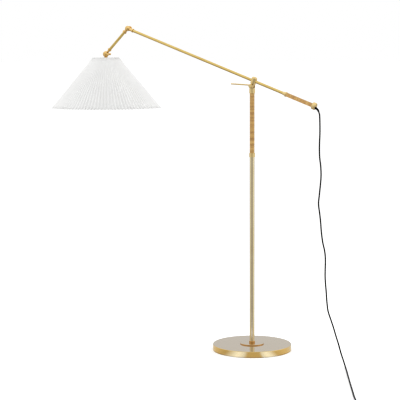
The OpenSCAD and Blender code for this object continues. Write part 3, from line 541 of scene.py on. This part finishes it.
def cord_line():
    """The cord's middle line: out of the strain relief, down, along the floor and coiled."""
    tip, heading = gland_point(GLAND_TURN)
    first = coil_point(0) - 1.1 * CORD_D * coil_heading(COIL_ANGLES[0])
    route = [tip + 2 * CORD_D * heading, *(MM * Vector(p) for p in CORD_POINTS),
             first - CORD_D * coil_heading(COIL_ANGLES[0])]
    count = math.ceil(COIL_TURNS * 36)
    coil = [coil_point(COIL_TURNS * k / count) for k in range(count + 1)]
    end = coil[-1] + 3 * CORD_D * coil_heading(COIL_ANGLES[1])
    return [tip, tip + CORD_D * heading, *smooth(route, 0.012), first, *coil,
            (coil[-1] + end) / 2, end]


def path_length(line):
    return sum((b - a).length for a, b in zip(line, line[1:]))


line = cord_line()
cord = piece("cord", tube("cord", line, CORD_D), black, None, "black_vinyl",
             "power_cord", "cord_coil")
line[0] - Vector((0, 0, 0.55))
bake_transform(cord)


def relief_sleeve():
    """The tapered sleeve where the cord leaves the end cap, with shallow grooves."""
    mesh = bmesh.new()
    rings = 36
    around = 24
    for k in range(rings + 1):
        share = k / rings
        point, heading = gland_point(GLAND_TURN * share)
        groove = 0.25 if 0.2 < share < 0.9 and k % 5 == 0 else 0
        radius = MM * (GLAND_R + (GLAND_TIP_R - GLAND_R) * share - groove)
        turn = heading.to_track_quat("Z", "Y").to_matrix().to_4x4()
        bmesh.ops.create_circle(mesh, segments=around, radius=radius, cap_ends=k in (0, rings),
                                matrix=Matrix.Translation(point) @ turn)
    mesh.edges.ensure_lookup_table()
    return bridged(mesh, [mesh.edges[around * k:around * k + around] for k in range(rings + 1)])


piece("cord_relief", relief_sleeve(), black, "arm", "black_vinyl", "cord_gland")


def moulded_plug():
    """The plug: a ribbed relief, a waisted grip and a flat face, lying flat.

    A section is its place along the plug, and half its width and height, in millimetres."""
    mesh = bmesh.new()
    around = 28
    sections = [(0, 3.75, 3.75), (3, 4.4, 4.4), (4, 3.9, 3.9), (7, 4.9, 4.9), (8, 4.4, 4.4),
                (11, 5.5, 5.5), (12, 4.9, 4.9), (15, 6.1, 6.0), (16, 5.6, 5.4), (21, 7.5, 7.0),
                (24, 10.5, 9.4), (28, 12.2, 10.8), (38, 11.0, 9.6), (48, 12.4, 11.0),
                (54, 12.9, 11.5), (55.6, 12.3, 11.0), (56, 11.5, 10.2)]
    start = line[-1]
    loops = []
    for along, half_width, half_height in sections:
        square = 1.0 if along < 20 else 0.62
        outline = []
        for angle in (math.tau * i / around for i in range(around)):
            c, s = math.cos(angle), math.sin(angle)
            outline.append((start.x - MM * along,
                            start.y + MM * half_width * math.copysign(abs(c) ** square, c),
                            start.z + MM * half_height * math.copysign(abs(s) ** square, s)))
        loops.append(closed_loop(mesh, outline)[1])
    for edges in (loops[0], loops[-1]):
        bmesh.ops.contextual_create(mesh, geom=edges)
    return bridged(mesh, loops)


plug = piece("plug", moulded_plug(), plug_black, "head", "black_vinyl", "plug_body")


def coil_strap():
    """A flat strap closed round the coil's turns, rounded where it bends."""
    mesh = bmesh.new()
    high = COIL_LOW + COIL_STEP + CORD_R + 0.3
    room = CORD_R + STRAP_PLAY
    inner, outer = COIL_OUTER - COIL_STEP * COIL_TURNS / 2 - room, COIL_OUTER + room
    loops = []
    for grow in (STRAP_THICK, 0.0):
        x0, x1, z0, z1 = inner - grow, outer + grow, STRAP_THICK - grow, high + grow
        corner = STRAP_ROUND + grow
        outline = []
        for cx, cz, start in ((x1 - corner, z1 - corner, 0), (x0 + corner, z1 - corner, 90),
                              (x0 + corner, z0 + corner, 180), (x1 - corner, z0 + corner, 270)):
            for k in range(6):
                angle = math.radians(start + 18 * k)
                outline.append((MM * (cx + corner * math.cos(angle)), -MM * STRAP_HALF_WIDTH,
                                MM * (cz + corner * math.sin(angle))))
        loops.append(closed_loop(mesh, outline)[1])
    bmesh.ops.bridge_loops(mesh, edges=loops[0] + loops[1])
    pulled = bmesh.ops.extrude_face_region(mesh, geom=mesh.faces[:])["geom"]
    bmesh.ops.translate(mesh, vec=(0, 2 * MM * STRAP_HALF_WIDTH, 0),
                        verts=only(pulled, bmesh.types.BMVert))
    place = (Matrix.Translation((MM * COIL_CENTRE[0], MM * COIL_CENTRE[1], 0))
             @ Matrix.Rotation(math.radians(TIE_ANGLE), 4, "Z"))
    bmesh.ops.transform(mesh, matrix=place, verts=mesh.verts[:])
    return tidy(mesh)


strap = piece("cord_strap", coil_strap(), strap_black, "head", "black_strap", "cord_tie",
              smooth=False)
round(path_length(line), 3)

# ---------- cane ----------

POST_WRAP = {"inner": 0.00962, "thick": 0.00118, "start": 0.89815, "end": 1.16585, "turns": 56}
HANDLE_WRAP = {"inner": 0.00805, "thick": 0.00108, "start": 0.1752, "end": 0.3088, "turns": 28}

piece("post_wrap", wound_strip(**POST_WRAP), post_cane_finish, "root", "cane", "post_cane")


def handle_wrap():
    """The handle's wrap: wound about Z, then laid along the arm."""
    mesh = wound_strip(**HANDLE_WRAP)
    bmesh.ops.transform(mesh, matrix=ALONG_ARM @ X_FROM_Z, verts=mesh.verts[:])
    return mesh


piece("handle_wrap", handle_wrap(), handle_cane_finish, "arm", "cane", "handle_cane")

# ---------- the shade ----------

SHADE_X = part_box("pleated_shade")[0].x + 0.260
SHADE_LOW, SHADE_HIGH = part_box("pleated_shade")[0].z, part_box("pleated_shade")[1].z
SHADE_TOP_R = 0.062
SHADE_HEM_R = 0.2598
EDGE_GAP = 0.0003  # keeps the cloth inside the solid's height
CLOTH_THICK = 0.0009
PLEATS = 100
PLEAT_STEPS = 10  # round the shade, to one pleat
ROWS = 12  # down the shade
PLEAT_TOP = 0.0006  # depth at the top, and how much more at the hem
PLEAT_GROWTH = 0.0046
CREST_ROUNDING = 0.22  # 0 is a sharp fold, 1 a wave
HEM_PRESS = 0.35
HEM_SCALLOP = 0.0032


def pleated_cloth():
    """The cloth hangs in pleats that open towards the bottom; no two are quite alike.

    The last row is pressed flatter and scalloped. Gives the mesh, the area of the cloth laid
    flat, and the length of its bottom edge."""
    draw = random.Random(7)
    shift = [draw.uniform(-0.012, 0.012) for _ in range(PLEATS)]
    deep = [draw.uniform(0.95, 1.0) for _ in range(PLEATS)]
    lean = [draw.uniform(-0.02, 0.02) for _ in range(PLEATS)]
    mesh = bmesh.new()
    bmesh.ops.create_circle(mesh, segments=PLEATS * PLEAT_STEPS, radius=1.0)
    edges = mesh.edges[:]
    for _ in range(ROWS):
        grown = bmesh.ops.extrude_edge_only(mesh, edges=edges)["geom"]
        edges = [edge for edge in only(grown, bmesh.types.BMEdge)
                 if all(vert in grown for vert in edge.verts)]
        bmesh.ops.translate(mesh, vec=(0, 0, -1.0 / ROWS), verts=only(grown, bmesh.types.BMVert))
    for vert in mesh.verts:
        down = -vert.co.z
        turn = (math.atan2(vert.co.y, vert.co.x) % math.tau) / math.tau * PLEATS
        pleat = int(turn + 1e-6) % PLEATS
        share = turn - int(turn + 1e-6)
        fold = abs(2 * share - 1)
        wave = 0.5 - 0.5 * math.cos(math.pi * fold)
        fold = (1 - CREST_ROUNDING) * fold + CREST_ROUNDING * wave
        at_hem = max(0.0, down * ROWS - ROWS + 1)
        depth = (PLEAT_TOP + PLEAT_GROWTH * down) * deep[pleat] * (1 - HEM_PRESS * at_hem)
        radius = SHADE_TOP_R + (SHADE_HEM_R - SHADE_TOP_R) * down - depth * (1 - fold)
        side = math.sin(math.pi * share) * (shift[pleat] + lean[pleat] * down)
        angle = (turn + side) / PLEATS * math.tau
        height = (SHADE_HIGH - EDGE_GAP - down * (SHADE_HIGH - SHADE_LOW - 2 * EDGE_GAP)
                  + HEM_SCALLOP * at_hem * (1 - fold))
        vert.co = (SHADE_X + radius * math.cos(angle), radius * math.sin(angle), height)
    bmesh.ops.recalc_face_normals(mesh, faces=mesh.faces[:])
    if sum(face.normal.dot(face.calc_center_median() - Vector((SHADE_X, 0, SHADE_LOW)))
           for face in mesh.faces) < 0:
        bmesh.ops.reverse_faces(mesh, faces=mesh.faces[:])
    area = sum(face.calc_area() for face in mesh.faces)
    hem = sum(edge.calc_length() for edge in edges)
    bmesh.ops.solidify(mesh, geom=mesh.faces[:], thickness=CLOTH_THICK)
    bmesh.ops.recalc_face_normals(mesh, faces=mesh.faces[:])
    return mesh, round(area, 3), round(hem, 2)


shade_mesh, CLOTH_CUT, CLOTH_HEM = pleated_cloth()
shade = piece("shade_cloth", shade_mesh, cloth, "shade", "pleated_cloth", "pleated_shade")

# ---------- the felt ring ----------

FELT_OUTLINE = [(0.1512, 0.0), (0.1716, 0.0), (0.1719, 0.0004), (0.1719, 0.0019),
                (0.1511, 0.0019), (0.1511, 0.0004)]
piece("felt_ring", spun(FELT_OUTLINE), felt, "root", "felt", "felt_pad")

# ---------- the solid parts keep their shape and get their finish ----------

FINISHES = [
    (base_brass, "base_cover"),
    (plate_brass, "centre_plate"),
    (warm, "post_collar"),
    (gold, "lower_ferrule upper_ferrule head_yoke pivot_nut lever_hub clamp_lever "
           "tilt_block handle_ferrule end_cap shade_fitter holder_cap holder_shell"),
    (ball_gold, "elbow_back_half elbow_front_half elbow_screw elbow_knob "
                "knuckle_back_half knuckle_front_half knuckle_screw knuckle_knob"),
    (arm_gold, "arm_tube"),
    (short_gold, "short_arm_tube"),
    (pale, "lower_post"),
    (zinc, "base_bolt base_washer swivel_washer swivel_stud swivel_nut pivot_screw "
           "tilt_washers block_grub holder_nut"),
    (iron, "base_weight counterweight"),
    (steel_tube, "upper_post post_foot"),
    (black, "arm_lead short_arm_lead"),
    (white_coat, "shade_bottom_ring"),
    (porcelain, "holder_core"),
    (switch_plastic, "switch_key"),
    (bulb_metal, "bulb_cap"),
    (blade_metal, "plug_blades"),
    (glass, "bulb_glass"),
]
for finish, names in FINISHES:
    for name in names.split():
        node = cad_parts[name]
        node.data.materials.clear()
        node.data.materials.append(finish)

# ---------- floor and light ----------

EVEN_LIGHT = 0.9
FLOOR_GLOW = 0.25
FLOOR_SIZE = 400
FLOOR_EDGE = (0.35, 0.6)
GREY_STRENGTH = 2.0
# What shiny parts see round them: stops of a place, a grey and sometimes a tint. The place is
# the angle in the room from the side that the photo was taken from (0) to the far side (1), to
# the right or to the left. The walls are the room, and the floors are the floor close by, which
# has a cool patch of light on each side.
COOL = (1.0, 1.13, 1.65)
WARM = (1.0, 0.84, 0.58)
SKY = (1.0, 1.03, 1.06)
CEILING = (0.52, 0.52, 0.52, 1)
RIGHT_WALL = [(0.0, 0.42), (0.1, 0.46), (0.24, 0.62), (0.34, 0.98), (0.54, 0.98), (0.66, 0.66),
              (0.88, 0.62), (0.95, 0.62, SKY)]
LEFT_WALL = [(0.0, 0.42), (0.2, 0.42), (0.3, 0.74), (0.55, 0.78), (0.7, 0.66), (0.88, 0.62),
             (0.95, 0.62, SKY)]
RIGHT_FLOOR = [(0.0, 0.62, WARM), (0.07, 0.62, WARM), (0.09, 0.9, COOL), (0.14, 1.22, COOL),
               (0.18, 1.05, COOL), (0.25, 0.66, WARM), (0.4, 0.78, WARM), (0.7, 0.7), (0.85, 0.4)]
LEFT_FLOOR = [(0.0, 0.62, WARM), (0.06, 0.62, WARM), (0.09, 0.9, COOL), (0.15, 1.24, COOL),
              (0.2, 1.0, COOL), (0.3, 0.56, WARM), (0.47, 0.76, WARM), (1.0, 0.78)]


def surroundings(nodes, x, y, right_side, left_side):
    """The greys of the room or the floor, by the way that x and y lie from the post."""
    behind = x * math.sin(YAW) - y * math.cos(YAW)
    right = x * math.cos(YAW) + y * math.sin(YAW)
    turn = nodes.node("Math", {"operation": "ARCTAN2"}, [right, behind]) / math.pi
    size = nodes.node("Math", {"operation": "ABSOLUTE"}, [turn])

    def side(stops):
        colours = [(at, tuple(grey / GREY_STRENGTH * part for part in (tint or [(1, 1, 1)])[0]))
                   for at, grey, *tint in stops]
        return nodes.ramp(size, *colours)

    return nodes.mix(turn > 0.0, side(left_side), side(right_side))


def floor_paint():
    """Even white; shiny parts see the greys in it, those of the room from FLOOR_EDGE on."""
    floor = Nodes(bpy.data.materials.new("floor"))
    x, y = floor.axes(floor.node("TexCoord", output="Object"), "XY")
    white = floor.node("BsdfPrincipled", inputs={
        "Base Color": (0.9, 0.9, 0.9, 1), "Roughness": 0.9, "Specular IOR Level": 0.0,
        "Emission Color": (1, 1, 1, 1), "Emission Strength": FLOOR_GLOW})
    reach = (x * x + y * y) ** 0.5
    far = floor.spread(reach, *FLOOR_EDGE)
    seen = floor.mix(far, surroundings(floor, x, y, RIGHT_FLOOR, LEFT_FLOOR),
                     surroundings(floor, x, y, RIGHT_WALL, LEFT_WALL))
    dim = far * floor.spread(reach, 0.8, 6.0, 0.15, 0.0)
    mirrored = floor.node("Emission", inputs={"Color": floor.mix(dim, seen, (0, 0, 0, 1)),
                                              "Strength": GREY_STRENGTH})
    glossy = floor.node("LightPath", output="Is Glossy Ray")
    return floor.end("ShaderNodeOutputMaterial",
                     floor.node("MixShader", inputs=[glossy, white, mirrored]))


def make_floor():
    """A plain pale floor that reaches past the view on all sides."""
    mesh = bmesh.new()
    bmesh.ops.create_grid(mesh, x_segments=1, y_segments=1, size=FLOOR_SIZE)
    data = bpy.data.meshes.new("floor")
    mesh.to_mesh(data)
    mesh.free()
    data.materials.append(floor_paint())
    made = bpy.data.objects.new("floor", data)
    bpy.context.scene.collection.objects.link(made)


def soft_light(name, place, target, size, power):
    """A large soft lamp of this power in watts, which shiny parts don't mirror."""
    data = bpy.data.lights.new(name, "AREA")
    data.shape = "RECTANGLE"
    data.size, data.size_y = size
    data.energy = power
    made = bpy.data.objects.new(name, data)
    made.location = place
    made.rotation_euler = (Vector(target) - Vector(place)).to_track_quat("-Z", "Y").to_euler()
    made.visible_glossy = False
    bpy.context.scene.collection.objects.link(made)


def make_world():
    """White for the camera, even light for cloth, and walls of several greys for metal."""
    studio = Nodes(bpy.data.worlds.new("studio"))
    x, y, z = studio.axes(studio.node("TexCoord", output="Generated"), "XYZ")
    walls = surroundings(studio, x, y, RIGHT_WALL, LEFT_WALL)
    room = studio.mix(studio.spread(z, 0.05, 0.6), walls, CEILING)
    shiny = studio.node("Background", inputs={"Color": room, "Strength": GREY_STRENGTH})
    even = studio.node("Background", inputs={"Color": (1, 1, 1, 1), "Strength": EVEN_LIGHT})
    white = studio.node("Background", inputs={"Color": (1, 1, 1, 1), "Strength": 1.0})
    glossy = studio.node("LightPath", output="Is Glossy Ray")
    seen = studio.node("LightPath", output="Is Camera Ray")
    light = studio.node("MixShader", inputs=[glossy, even, shiny])
    bpy.context.scene.world = studio.end("ShaderNodeOutputWorld",
                                         studio.node("MixShader", inputs=[seen, light, white]))


make_floor()
make_world()
SHADE_MIDDLE = (-0.78, 0, 1.2)
soft_light("side light", (3.2, 2.1, 2.0), SHADE_MIDDLE, (1.2, 2.4), 54)
soft_light("left light", (-3.9, -2.5, 2.0), SHADE_MIDDLE, (1.6, 2.4), 40)
soft_light("top light", (0, -1.0, 4.2), (0, 0, 0.5), (3.5, 3.5), 15)
bpy.context.scene.view_settings.view_transform = "Standard"
bpy.context.scene.cycles.filter_width = 1.3
